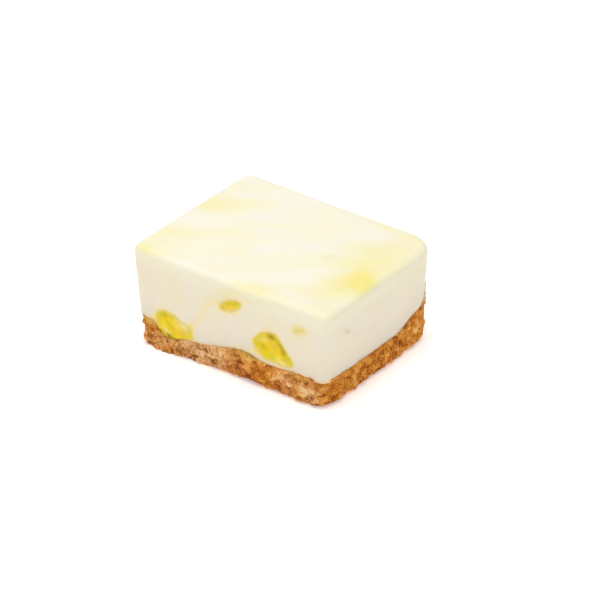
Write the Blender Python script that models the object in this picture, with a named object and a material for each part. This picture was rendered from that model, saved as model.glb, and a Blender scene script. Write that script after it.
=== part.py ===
"""A hand-cut corner piece of lemon cheesecake: crumb base, set filling and ribbons of lemon curd.

Metres, +Z up. The origin is at the middle of the underside. The long cut face looks along -Y,
the short cut face along +X, and the corner between +X and +Y is the round corner of the tray.
"""
import math
import random

import bmesh
import bpy
from mathutils import Vector, noise

# Driving dimensions of the piece
LENGTH = 0.0795            # along X, at the top
DEPTH = 0.0640             # along Y, at the top
HEIGHT = 0.0360            # mean height of the top
CRUST_HEIGHT = 0.0096      # usual height of the crumb base
GAP = 0.0003               # kept between pieces that touch
BLOCK_FLOOR = -0.002       # foot of the uncut block
LAYER_FLOOR = -0.004       # foot of what clears room for the crumb base

# The sides lean in from the top to the base, and the left side runs out towards the back
LEAN_LEFT = 0.0022
LEAN_RIGHT = 0.0016
LEAN_FRONT = 0.0004
LEAN_BACK = 0.0002
SPLAY_LEFT = 0.0009

# The hand-cut sides wave a little, and the top isn't level
CUT_WAVE = 0.00030
CUT_WAVE_LENGTH = 0.016
TOP_HEIGHTS = ((0.0362, 0.0388), (0.0345, 0.0349))   # (left front, left back), (right front, right back)
TOP_SAG = 0.0008           # dip in the middle of the long cut edge
TOP_ROUND = 0.0028         # rounding of the rim round the top
TOP_ROUND_STEPS = 5
SIDE_SHARES = (0.25, 0.45, 0.65, 0.82)     # levels of the sides' rings, as shares of the height
TOP_INSETS = (0.008, 0.016, 0.024)         # rings of the top, in from the sides

# Upright corners: (side of X, side of Y, radius in the filling, radius in the crumb base)
CORNERS = [
    (1, -1, 0.0030, 0.0052),    # right front, knife cut
    (1, 1, 0.0100, 0.0098),     # right back, the tray's own corner
    (-1, 1, 0.0032, 0.0046),    # left back
    (-1, -1, 0.0028, 0.0038),   # left front, knife cut
]
LEAST_RADIUS = 0.0003       # where the rim's rounding has used a corner up

# Local rises and dips of the crumb base's top: (x, y, reach along x, reach along y, height)
CRUST_SWELLS = [
    (-0.0248, -0.0300, 0.0072, 0.0600, -0.0037),   # trough that the left ribbon lies in
    (-0.0130, -0.0310, 0.0070, 0.0200, -0.0013),
    (0.0065, -0.0310, 0.0065, 0.0120, 0.0021),     # swell under the middle of the front
    (0.0320, -0.0330, 0.0120, 0.0090, 0.0011),     # and towards the front corner
    (-0.0310, -0.0330, 0.0026, 0.0080, 0.0020),    # crumbs pushed up beside the left ribbon
    (-0.0363, -0.0330, 0.0040, 0.0080, 0.0016),    # and at the left corner
    (0.0407, 0.0180, 0.0090, 0.0050, 0.0028),      # crumbs drawn up at the tray's corner
    (0.0361, 0.0297, 0.0070, 0.0070, 0.0110),
    (-0.0043, 0.0330, 0.0120, 0.0080, -0.0012),
]
CRUST_WAVE = 0.00035       # slow unevenness over the rest of it
CRUST_WAVE_LENGTH = 0.011

# Crumb base: how far it stands out, its crags and its worn lower edge
CRUST_PROUD = 0.0002
CRUST_BULGE = 0.0010       # the right side swells out, most in its middle
BULGE_MIDDLE = 0.0030      # where along Y
BULGE_SPAN = 0.0800
BULGE_TUCK = 0.6           # share of the swelling that is lost at the base's top
LOCAL_BULGE = (-0.0280, -0.0320, 0.0100, 0.0009)    # one more at the left front: x, y, reach, how far
LEFT_INSET = 0.0008        # the left side lies in under the filling
CRAG_DEPTH = 0.00075
CRAG_LENGTH = 0.0030
WORN_EDGE = 0.0027
WORN_SHARE = 0.8           # how far it is worn in, as a share of how far up
WHOLE_EDGES = [            # where it is less worn: (x, y, reach, share of the wear that is missing)
    (-0.0265, -0.0320, 0.0100, 0.95),
    (-0.0120, -0.0320, 0.0060, 0.40),
    (0.0290, -0.0320, 0.0060, 0.30),
]
CRUMB_COUNT = 130
CRUMB_RADIUS = (0.0010, 0.0020)
CRUMB_STANDS_OUT = (0.00020, 0.00070)
CRUMB_STRETCH = ((0.8, 1.1), (0.8, 1.1), (0.7, 1.0))   # along the crumb's own axes
CRUMB_KNOCKS = (0.85, 1.12)
CRUMB_SEED = 7

# Ribbons of curd that run through from front to back. Ends are (x, z), sizes are half sizes,
# turn is in degrees in the front view, and power is 2 for an oval and lower for a lozenge.
RIBBONS = {
    "curd_ribbon_left": dict(front=(-0.0231, 0.0101), back=(-0.0208, 0.0092), half=(0.0078, 0.0050),
                             turn=-4, power=2.0, lobes=3, lobe_depth=0.12, phase=-0.15),
    "curd_ribbon_upper": dict(front=(0.0018, 0.0265), back=(-0.0059, 0.0242), half=(0.0040, 0.0019),
                              turn=27, power=1.7, lobes=2, lobe_depth=0.10, phase=0.4),
    "curd_ribbon_front": dict(front=(0.0183, 0.0161), back=(0.0125, 0.0175), half=(0.0075, 0.0049),
                              turn=-18, power=1.55, lobes=3, lobe_depth=0.13, phase=0.63),
    "curd_ribbon_small": dict(front=(0.0290, 0.0265), back=(0.0249, 0.0246), half=(0.0026, 0.0008),
                              turn=24, power=1.8, lobes=2, lobe_depth=0.08, phase=2.4),
}
RIBBON_SIDES = 22
RIBBON_STEPS = 9
RIBBON_WANDER = 0.0015     # how far a ribbon strays sideways on its way through
RIBBON_LIFT = 0.0006       # and up and down
RIBBON_WAIST = 0.16        # share of its size that it loses half way
RIBBON_PULSE = 0.10        # share by which it swells and thins along the way
RIBBON_UNTURN = 0.8        # share of its turn that is gone at the back
RIBBON_BEYOND = 0.0060     # how far a ribbon's blank reaches past the cut faces

# Numbers of points round the piece
SIDE_POINTS = 16           # along each side of the filling
ARC_POINTS = 7             # round each corner
CRUST_SIDE_POINTS = 27
CRUST_RING_STEP = 0.0020
CRUST_FOOT_LEVELS = (-0.0010, 0.0, 0.0006, 0.0016)   # close together round the worn edge
CRUST_BLANK_HEIGHT = 0.0220                          # above the highest swell
LAYER_GRID = (26, 20)      # cells of the surface between crumb base and filling
LAYER_REACH = 1.3          # how far it reaches, as a share of the piece

FILLING_COLOUR = (0.86, 0.82, 0.70, 1.0)
CURD_COLOUR = (0.84, 0.62, 0.04, 1.0)
CRUMB_COLOUR = (0.47, 0.22, 0.06, 1.0)


def clear_scene():
    for thing in list(bpy.data.objects):
        bpy.data.objects.remove(thing)


def material(name, colour, roughness):
    made = bpy.data.materials.new(name)
    made.use_nodes = True
    shader = made.node_tree.nodes["Principled BSDF"]
    shader.inputs["Base Color"].default_value = colour
    shader.inputs["Roughness"].default_value = roughness
    shader.inputs["Metallic"].default_value = 0.0
    return made


def put_in_collection(name, bm, collection, finish=None):
    bmesh.ops.recalc_face_normals(bm, faces=bm.faces)
    mesh = bpy.data.meshes.new(name)
    bm.to_mesh(mesh)
    bm.free()
    made = bpy.data.objects.new(name, mesh)
    collection.objects.link(made)
    if finish:
        mesh.materials.append(finish)
    return made


def add_boolean(target, operation, other, solver="EXACT"):
    """Joins or cuts target with an object, or with every object of a collection."""
    cut = target.modifiers.new(operation.lower(), "BOOLEAN")
    cut.operation = operation
    cut.solver = solver
    if isinstance(other, bpy.types.Collection):
        cut.operand_type = "COLLECTION"
        cut.collection = other
    else:
        cut.object = other
    return cut


def apply_modifiers(target):
    shaped = target.evaluated_get(bpy.context.evaluated_depsgraph_get())
    target.data = bpy.data.meshes.new_from_object(shaped)
    target.modifiers.clear()


# The plan of the piece

def side_reach(share):
    """Half extents (left, right, front, back) of the plan at a share of the height, 0 at the base."""
    left = LENGTH / 2 - LEAN_LEFT * (1 - share)
    right = LENGTH / 2 - LEAN_RIGHT * (1 - share)
    front = DEPTH / 2 - LEAN_FRONT * (1 - share)
    back = DEPTH / 2 - LEAN_BACK * (1 - share)
    return left, right, front, back


def outline(share, radii, inset, side_points):
    """Points round the plan, anticlockwise from the right front, each with the way out of the side."""
    left, right, front, back = side_reach(share)
    arcs = []
    for (side_x, side_y, *_), radius in zip(CORNERS, radii):
        rounded = max(radius - inset, LEAST_RADIUS)
        middle = Vector((
            side_x * ((right if side_x > 0 else left) - inset - rounded),
            side_y * ((back if side_y > 0 else front) - inset - rounded),
        ))
        start = math.atan2(side_y, side_x) - math.pi / 4
        arc = []
        for k in range(ARC_POINTS):
            angle = start + math.pi / 2 * k / (ARC_POINTS - 1)
            way_out = Vector((math.cos(angle), math.sin(angle)))
            arc.append((middle + way_out * rounded, way_out))
        arcs.append(arc)
    points = []
    for corner, arc in enumerate(arcs):
        following = arcs[(corner + 1) % len(arcs)]
        points += arc
        (start, way_out), (end, _) = arc[-1], following[0]
        for k in range(1, side_points):
            points.append((start.lerp(end, k / side_points), way_out))
    for flat, _ in points:
        flat.x -= SPLAY_LEFT * (0.5 - flat.x / LENGTH) * (0.5 + flat.y / DEPTH)
    return points


def top_height(x, y):
    across, along = 0.5 + x / LENGTH, 0.5 + y / DEPTH
    left, right = (front + (back - front) * along for front, back in TOP_HEIGHTS)
    sag = TOP_SAG * math.sin(math.pi * across) * (1 - along) ** 2
    return left + (right - left) * across - sag


def crust_top(x, y):
    """Height of the crumb base's top, which the filling follows."""
    height = CRUST_HEIGHT
    for middle_x, middle_y, reach_x, reach_y, rise in CRUST_SWELLS:
        away = ((x - middle_x) / reach_x) ** 2 + ((y - middle_y) / reach_y) ** 2
        height += rise * math.exp(-away)
    return height + CRUST_WAVE * noise.noise(Vector((x, y, 0.5)) / CRUST_WAVE_LENGTH)


def loft(rings):
    """A closed body over rings of points that have the same number of points each, in triangles."""
    bm = bmesh.new()
    rows = [[bm.verts.new(point) for point in ring] for ring in rings]
    count = len(rows[0])
    for lower, upper in zip(rows, rows[1:]):
        for k in range(count):
            after = (k + 1) % count
            bm.faces.new((lower[k], lower[after], upper[after], upper[k]))
    bm.faces.new(list(reversed(rows[0])))
    bm.faces.new(rows[-1])
    bmesh.ops.triangulate(bm, faces=bm.faces)
    return bm


# Bodies before they are cut

def waved_ring(share, inset, drop):
    """A ring of the block whose sides stray out and in as a hand's cut does.

    Its height is a share of the top's, or the top's less a drop where one is given.
    """
    radii = [corner[2] for corner in CORNERS]
    ring = []
    for flat, way_out in outline(share, radii, inset, SIDE_POINTS):
        point = Vector((flat.x, flat.y, HEIGHT * share))
        if inset <= TOP_ROUND:
            point += way_out.to_3d() * CUT_WAVE * noise.noise(point / CUT_WAVE_LENGTH)
        roof = top_height(point.x, point.y)
        point.z = roof * share if drop is None else roof - drop
        ring.append(point)
    return ring


def block_rings():
    """Rings of the whole piece, from a level below the base up over the rounded rim."""
    rings = [waved_ring(share, 0.0, None) for share in (BLOCK_FLOOR / HEIGHT, *SIDE_SHARES)]
    for step in range(TOP_ROUND_STEPS + 1):
        angle = math.pi / 2 * step / TOP_ROUND_STEPS
        drop = TOP_ROUND * (1 - math.sin(angle))
        rings.append(waved_ring(1 - drop / HEIGHT, TOP_ROUND * (1 - math.cos(angle)), drop))
    rings += [waved_ring(1.0, inset, 0.0) for inset in TOP_INSETS]
    return rings


def layer_block(name, lift, floor, collection):
    """Everything from floor up to the top of the crumb base, well past the sides of the piece."""
    bm = bmesh.new()
    bmesh.ops.create_grid(bm, x_segments=LAYER_GRID[0], y_segments=LAYER_GRID[1], size=0.5)
    for vert in bm.verts:
        vert.co.x *= LENGTH * LAYER_REACH
        vert.co.y *= DEPTH * LAYER_REACH
    raised = bmesh.ops.extrude_face_region(bm, geom=list(bm.faces))["geom"]
    upper = {item for item in raised if isinstance(item, bmesh.types.BMVert)}
    for vert in bm.verts:
        vert.co.z = crust_top(vert.co.x, vert.co.y) + lift if vert in upper else floor
    flat = [face for face in bm.faces if not any(vert in upper for vert in face.verts)]
    bmesh.ops.dissolve_faces(bm, faces=flat)
    # The same diagonals in every layer, so that two of them never cross
    bmesh.ops.triangulate(bm, faces=bm.faces, quad_method="FIXED")
    return put_in_collection(name, bm, collection)


def crag(point):
    """Rough relief of the crumb base, in metres, by layered noise."""
    rough = 0.0
    for octave in range(3):
        scale = 2.0 ** octave
        rough += noise.noise(point * scale / CRAG_LENGTH + Vector((3.1, 7.7, 1.3)) * octave) / scale
    return CRAG_DEPTH * rough


def wear(point):
    """How much of the usual wear the lower edge has near a point, 1 for all of it."""
    left = 0.0
    for x, y, reach, share in WHOLE_EDGES:
        left += share * math.exp(-((point.x - x) ** 2 + (point.y - y) ** 2) / reach ** 2)
    return max(0.0, 1 - left)


def crust_offset(point, way_out):
    """How far the crumb base's side stands outside the plan, at a point of it."""
    middle = math.cos(math.pi * (point.y - BULGE_MIDDLE) / BULGE_SPAN)
    x, y, reach, most = LOCAL_BULGE
    bulge = CRUST_BULGE * max(0.0, way_out.x) ** 2 * max(0.0, middle)
    bulge += most * math.exp(-((point.x - x) ** 2 + (point.y - y) ** 2) / reach ** 2)
    bulge *= 1 - BULGE_TUCK * min(1.0, point.z / CRUST_HEIGHT) ** 2
    worn = 0.0
    if point.z < WORN_EDGE:
        level = 1 - max(point.z, 0.0) / WORN_EDGE
        worn = WORN_EDGE * WORN_SHARE * (1 - math.sqrt(1 - level ** 2)) * wear(point)
    inset = LEFT_INSET * max(0.0, -way_out.x) ** 2
    return CRUST_PROUD + bulge - inset - worn + crag(point)


def crust_rings(levels):
    radii = [corner[3] for corner in CORNERS]
    rings = []
    for z in levels:
        ring = []
        for p, way_out in outline(z / HEIGHT, radii, 0.0, CRUST_SIDE_POINTS):
            point = Vector((p.x, p.y, z))
            out = way_out.to_3d() * crust_offset(point, way_out)
            ring.append(point + out)
        rings.append(ring)
    return rings


def crumb(name, middle, radius, dice, collection):
    """One coarse crumb: a knocked-about ball of twenty facets."""
    bm = bmesh.new()
    bmesh.ops.create_icosphere(bm, subdivisions=1, radius=radius)
    stretch = Vector(dice.uniform(*limits) for limits in CRUMB_STRETCH)
    turn = Vector(dice.uniform(-1, 1) for _ in range(3)).to_track_quat("Z", "Y")
    for vert in bm.verts:
        knocked = vert.co * dice.uniform(*CRUMB_KNOCKS)
        vert.co = turn @ (knocked * stretch) + middle
    return put_in_collection(name, bm, collection)


def scatter_crumbs(collection):
    """Crumbs that stand out of the base's sides, spread evenly round them."""
    dice = random.Random(CRUMB_SEED)
    radii = [corner[3] for corner in CORNERS]
    for number in range(CRUMB_COUNT):
        radius = dice.uniform(*CRUMB_RADIUS)
        z = dice.uniform(radius * CRUMB_STRETCH[2][0], CRUST_HEIGHT - radius / 2)
        ring = outline(z / HEIGHT, radii, 0.0, CRUST_SIDE_POINTS)
        place = (number + dice.random()) / CRUMB_COUNT * len(ring)
        start, way_out = ring[int(place) % len(ring)]
        end, _ = ring[(int(place) + 1) % len(ring)]
        point = start.lerp(end, place % 1.0).to_3d() + Vector((0.0, 0.0, z))
        out = crust_offset(point, way_out) + dice.uniform(*CRUMB_STANDS_OUT) - radius
        crumb(f"crumb_{number:03d}", point + way_out.to_3d() * out, radius, dice, collection)


def ribbon_ring(spec, y, grow):
    """One section of a ribbon of curd, square to Y."""
    share, phase = 0.5 + y / DEPTH, spec["phase"]
    inside = math.sin(math.pi * min(max(share, 0.0), 1.0))
    centre = Vector(spec["front"]).lerp(Vector(spec["back"]), share)
    centre.x += inside * RIBBON_WANDER * math.sin(5 * share + phase)
    centre.y += inside * RIBBON_LIFT * math.cos(4 * share)
    swell = 1 - RIBBON_WAIST * inside + RIBBON_PULSE * math.sin(7 * share + phase)
    turn = math.radians(spec["turn"]) * (1 - RIBBON_UNTURN * max(share, 0.0))
    ring = []
    for k in range(RIBBON_SIDES):
        angle = 2 * math.pi * k / RIBBON_SIDES
        power = 2 / spec["power"]
        across = math.copysign(abs(math.cos(angle)) ** power, math.cos(angle))
        up = math.copysign(abs(math.sin(angle)) ** power, math.sin(angle))
        lobe = 1 + spec["lobe_depth"] * math.cos(spec["lobes"] * angle + phase + 2 * share)
        flat = Vector((across * (spec["half"][0] * swell * lobe + grow),
                       up * (spec["half"][1] * swell * lobe + grow)))
        ring.append(Vector((
            centre.x + flat.x * math.cos(turn) - flat.y * math.sin(turn),
            y,
            centre.y + flat.x * math.sin(turn) + flat.y * math.cos(turn),
        )))
    return ring


def ribbon_blank(name, spec, grow, collection, finish=None):
    """A ribbon longer than the piece is deep. The block's faces cut it to length."""
    reach = DEPTH / 2 + RIBBON_BEYOND
    levels = [-reach + 2 * reach * k / RIBBON_STEPS for k in range(RIBBON_STEPS + 1)]
    rings = [ribbon_ring(spec, y, grow) for y in levels]
    return put_in_collection(name, loft(rings), collection, finish)


# The pieces

def build_crumb_base(parts, cutters, scrap, finish):
    levels = list(CRUST_FOOT_LEVELS)
    while levels[-1] < CRUST_BLANK_HEIGHT:
        levels.append(levels[-1] + CRUST_RING_STEP)
    base = put_in_collection("crumb_base", loft(crust_rings(levels)), parts, finish)
    scatter_crumbs(scrap)
    add_boolean(base, "UNION", scrap)
    apply_modifiers(base)
    for crumb_object in list(scrap.objects):
        bpy.data.objects.remove(crumb_object)
    layer = layer_block("crumb_layer", 0.0, 0.0, cutters)
    add_boolean(base, "INTERSECT", layer)
    return base


def build_filling(parts, cutters, finish):
    filling = put_in_collection("cheese_filling", loft(block_rings()), parts, finish)
    under = layer_block("space_for_crumb_base", GAP, LAYER_FLOOR, cutters)
    add_boolean(filling, "DIFFERENCE", under)
    for name, spec in RIBBONS.items():
        space = ribbon_blank(f"space_for_{name}", spec, GAP, cutters)
        add_boolean(filling, "DIFFERENCE", space)
    return under


def build_ribbons(parts, cutters, under, finish):
    whole = put_in_collection("whole_piece", loft(block_rings()), cutters)
    for name, spec in RIBBONS.items():
        ribbon = ribbon_blank(name, spec, 0.0, parts, finish)
        add_boolean(ribbon, "INTERSECT", whole)
        add_boolean(ribbon, "DIFFERENCE", under)


def hide_cutters(cutters):
    for cutter in cutters.objects:
        cutter.hide_render = True
        cutter.display_type = "WIRE"


def build():
    clear_scene()
    parts = bpy.data.collections.new("lemon_cheesecake")
    cutters = bpy.data.collections.new("cutters")
    scrap = bpy.data.collections.new("loose_crumbs")
    for collection in (parts, cutters, scrap):
        bpy.context.scene.collection.children.link(collection)
    crumb_finish = material("crumb", CRUMB_COLOUR, 0.75)
    filling_finish = material("filling", FILLING_COLOUR, 0.45)
    curd_finish = material("curd", CURD_COLOUR, 0.20)
    build_crumb_base(parts, cutters, scrap, crumb_finish)
    bpy.data.collections.remove(scrap)
    under = build_filling(parts, cutters, filling_finish)
    build_ribbons(parts, cutters, under, curd_finish)
    hide_cutters(cutters)


build()
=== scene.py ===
import math

import bmesh
import bpy
import numpy as np
from mathutils import Matrix, Vector, noise


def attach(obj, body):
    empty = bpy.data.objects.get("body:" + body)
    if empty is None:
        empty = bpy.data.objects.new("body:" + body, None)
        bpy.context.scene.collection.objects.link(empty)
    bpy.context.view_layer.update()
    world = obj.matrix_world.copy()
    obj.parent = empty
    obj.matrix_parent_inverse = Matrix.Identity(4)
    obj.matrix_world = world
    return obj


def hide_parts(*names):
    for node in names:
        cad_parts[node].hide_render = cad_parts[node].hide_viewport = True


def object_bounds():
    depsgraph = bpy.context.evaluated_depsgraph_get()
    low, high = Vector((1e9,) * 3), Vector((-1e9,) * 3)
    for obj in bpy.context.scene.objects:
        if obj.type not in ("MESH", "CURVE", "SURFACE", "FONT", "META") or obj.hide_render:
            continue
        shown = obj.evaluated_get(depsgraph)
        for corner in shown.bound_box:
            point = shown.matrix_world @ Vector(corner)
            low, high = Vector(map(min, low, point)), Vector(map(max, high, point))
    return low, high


# A corner piece of lemon cheesecake. Metres, +Z up, long cut face towards -Y, short one towards +X.

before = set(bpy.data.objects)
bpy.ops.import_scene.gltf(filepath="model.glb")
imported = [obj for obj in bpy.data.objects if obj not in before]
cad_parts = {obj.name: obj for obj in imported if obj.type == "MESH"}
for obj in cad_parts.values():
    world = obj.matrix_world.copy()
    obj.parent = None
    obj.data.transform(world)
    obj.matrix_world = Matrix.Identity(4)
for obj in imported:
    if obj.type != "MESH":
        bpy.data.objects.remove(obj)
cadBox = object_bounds()
millimetre = 0.001

piece = {
    "length": 0.0795,           # along X at the top
    "depth": 0.0640,            # along Y at the top
    "height": 0.0360,           # mean height of the top
    "lean": {"left": 0.0022, "right": 0.0016, "front": 0.0004, "back": 0.0002},
    "splayLeft": 0.0009,        # the left side runs out towards the back
    "topHeights": ((0.0362, 0.0388), (0.0345, 0.0349)),   # left front and back, right front and back
    "topSag": 0.0008,           # dip in the middle of the long cut edge
    "rim": 0.0028,              # rounding round the top
    "corners": [                # side of X, side of Y, radius in the filling, radius in the crumb base
        (1, -1, 0.0030, 0.0052),
        (1, 1, 0.0100, 0.0098),
        (-1, 1, 0.0032, 0.0046),
        (-1, -1, 0.0028, 0.0038),
    ],
}


# Where things lie

def sideReach(share):
    # Half extents of the plan at a share of the height, 0 at the base
    half, lean = piece["length"] / 2, piece["lean"]
    deep = piece["depth"] / 2
    return (half - lean["left"] * (1 - share), half - lean["right"] * (1 - share),
            deep - lean["front"] * (1 - share), deep - lean["back"] * (1 - share))


def splayed(x, y):
    return x - piece["splayLeft"] * (0.5 - x / piece["length"]) * (0.5 + y / piece["depth"])


def planAt(fx, fy, share, radii):
    # Points of the plan from fractions across it, with the way out of the nearest side and the inset
    left, right, front, back = sideReach(share)
    x = fx * (left + right) - left
    y = fy * (front + back) - front
    insetX = np.minimum(x + left, right - x)
    insetY = np.minimum(y + front, back - y)
    inset = np.minimum(insetX, insetY)
    outX = np.where(insetX <= insetY, np.sign(x), 0.0)
    outY = np.where(insetX <= insetY, 0.0, np.sign(y))
    for (sideX, sideY, *_), radius in zip(piece["corners"], radii):
        middleX = sideX * ((right if sideX > 0 else left) - radius)
        middleY = sideY * ((back if sideY > 0 else front) - radius)
        across, along = sideX * (x - middleX), sideY * (y - middleY)
        inCorner = (across > 0) & (along > 0)
        reach = np.maximum(across, along)
        slim = np.minimum(across, along) / np.maximum(reach, 1e-12)
        angle = np.where(across >= along, slim, 2 - slim) * math.pi / 4
        x = np.where(inCorner, middleX + sideX * reach * np.cos(angle), x)
        y = np.where(inCorner, middleY + sideY * reach * np.sin(angle), y)
        outX = np.where(inCorner, sideX * np.cos(angle), outX)
        outY = np.where(inCorner, sideY * np.sin(angle), outY)
    return splayed(x, y), y, outX, outY, inset


def topHeight(x, y):
    across, along = 0.5 + x / piece["length"], 0.5 + y / piece["depth"]
    left, right = (front + (back - front) * along for front, back in piece["topHeights"])
    return left + (right - left) * across - piece["topSag"] * np.sin(math.pi * across) * (1 - along) ** 2


def seeded(seed, steps=(3.1, 7.7, 1.3)):
    # Where the noise of a seed is taken, far from the other seeds' places
    return Vector([seed * step for step in steps])


def wavy(points, length, seed=0.0):
    # Smooth noise from about -1 to 1 at each point
    offset = seeded(seed)
    return np.array([noise.noise(Vector(point) / length + offset) for point in points])


def rough(points, length, octaves, seed=0.0):
    total = np.zeros(len(points))
    for octave in range(octaves):
        total += wavy(points, length / 2 ** octave, octave + seed) / 2 ** octave
    return total


def softSpot(across, along, middleX, middleY, wide, high, strength, turn=0):
    # The strength at an oval's middle, fading out to 0. Middle and half sizes are in millimetres.
    turn = math.radians(turn)
    dx, dy = across - middleX * millimetre, along - middleY * millimetre
    u = (dx * math.cos(turn) + dy * math.sin(turn)) / (wide * millimetre)
    v = (dy * math.cos(turn) - dx * math.sin(turn)) / (high * millimetre)
    return strength * np.exp(-u * u - v * v)


def allSpots(across, along, spots):
    return sum(softSpot(across, along, *spot) for spot in spots)


def alongThread(across, along, thread):
    # 1 on a line through the thread's points, fading out over its width
    nearest = np.full(len(across), 1.0)
    corners = [(a * millimetre, b * millimetre) for a, b in thread["through"]]
    for (ax, ay), (bx, by) in zip(corners, corners[1:]):
        length = math.hypot(bx - ax, by - ay)
        share = np.clip(((across - ax) * (bx - ax) + (along - ay) * (by - ay)) / length ** 2, 0, 1)
        away = np.hypot(across - ax - share * (bx - ax), along - ay - share * (by - ay))
        nearest = np.minimum(nearest, away)
    return thread["strength"] * np.exp(-(nearest / (thread["width"] * millimetre)) ** 2)


def insideBox(points):
    # Nothing stands out of the solid model's box
    return np.clip(points, np.array(cadBox[0]), np.array(cadBox[1]))


# Meshes

def meshObject(name, points, faces):
    mesh = bpy.data.meshes.new(name)
    mesh.from_pydata([tuple(p) for p in points], [], faces)
    mesh.validate()
    mesh.shade_smooth()
    made = bpy.data.objects.new(name, mesh)
    bpy.context.scene.collection.objects.link(made)
    return made


def meshPoints(thing):
    points = np.zeros(len(thing.data.vertices) * 3)
    thing.data.vertices.foreach_get("co", points)
    return points.reshape(-1, 3)


def movePoints(thing, points):
    thing.data.vertices.foreach_set("co", points.ravel())
    thing.data.update()


def paint(thing, name, values):
    layer = thing.data.attributes.new(name, "FLOAT", "POINT")
    layer.data.foreach_set("value", np.asarray(values, np.float32))


def ringFaces(index):
    # Quads between rows of a grid of point numbers whose rows are closed rings
    faces = []
    for near, far in zip(index, index[1:]):
        faces += np.stack([near, far, np.roll(far, -1), np.roll(near, -1)], -1).tolist()
    return faces


def gridFractions(reach, insets, step):
    # Lines across the plan: the rim's insets at both ends and even steps between them
    inner = np.arange(round((reach - 2 * insets[-1]) / step) + 1)
    inner = insets[-1] + (reach - 2 * insets[-1]) * inner / inner[-1]
    return np.concatenate([insets[:-1], inner, reach - insets[:-1][::-1]]) / reach


def closedGrid(name, insets, step, rowCount, place):
    # A closed body of a top grid, rows down its sides and a bottom grid. place(where, fx, fy, v) gives
    # the points, where v runs from 0 at the top of the sides to 1 at their foot.
    linesX = gridFractions(piece["length"], insets, step)
    linesY = gridFractions(piece["depth"], insets, step)
    countX, countY = len(linesX), len(linesY)
    gridX, gridY = (g.ravel() for g in np.meshgrid(linesX, linesY, indexing="ij"))
    ring = [(i, 0) for i in range(countX - 1)]
    ring += [(countX - 1, j) for j in range(countY - 1)]
    ring += [(i, countY - 1) for i in range(countX - 1, 0, -1)]
    ring += [(0, j) for j in range(countY - 1, 0, -1)]
    onRing = np.array([i * countY + j for i, j in ring])
    ringX, ringY = gridX[onRing], gridY[onRing]
    top = place("top", gridX, gridY, 0.0)
    rows = [place("side", ringX, ringY, (k + 1) / rowCount) for k in range(rowCount)]
    bottom = place("bottom", gridX, gridY, 1.0)
    isRing = np.zeros(len(gridX), bool)
    isRing[onRing] = True
    points = np.concatenate([top, *rows, bottom[~isRing]])
    sideIndex = [onRing] + [len(top) + k * len(ring) + np.arange(len(ring)) for k in range(rowCount)]
    bottomIndex = np.zeros(len(gridX), int)
    bottomIndex[onRing] = sideIndex[-1]
    bottomIndex[~isRing] = len(top) + rowCount * len(ring) + np.arange((~isRing).sum())
    cells = np.arange(countX * countY).reshape(countX, countY)
    quads = np.stack([cells[:-1, :-1], cells[1:, :-1], cells[1:, 1:], cells[:-1, 1:]], -1).reshape(-1, 4)
    faces = quads.tolist() + bottomIndex[quads[:, ::-1]].tolist() + ringFaces(sideIndex)
    return meshObject(name, points, faces)


def cutWith(target, operation, other):
    step = target.modifiers.new(operation.lower(), "BOOLEAN")
    step.operation = operation
    step.solver = "MANIFOLD"
    step.object = other
    shaped = target.evaluated_get(bpy.context.evaluated_depsgraph_get())
    target.data = bpy.data.meshes.new_from_object(shaped)
    target.modifiers.clear()


# Shader maths

class Wire:
    def __init__(self, finish, socket):
        self.finish, self.socket = finish, socket

    def maths(self, operation, *others):
        inputs = dict(enumerate([self, *others]))
        return self.finish.node("Math", {"operation": operation}, inputs)

    def __add__(self, other):
        return self.maths("ADD", other)

    def __sub__(self, other):
        return self.maths("SUBTRACT", other)

    def __rsub__(self, other):
        return self.finish.node("Math", {"operation": "SUBTRACT"}, {0: other, 1: self})

    def __mul__(self, other):
        return self.maths("MULTIPLY", other)

    __radd__, __rmul__ = __add__, __mul__

    def limited(self, low=0.0, high=1.0):
        # 0 at low and below, 1 at high and above, smooth between
        settings = {"interpolation_type": "SMOOTHSTEP"}
        return self.finish.node("MapRange", settings, {"Value": self, "From Min": low, "From Max": high})


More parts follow.
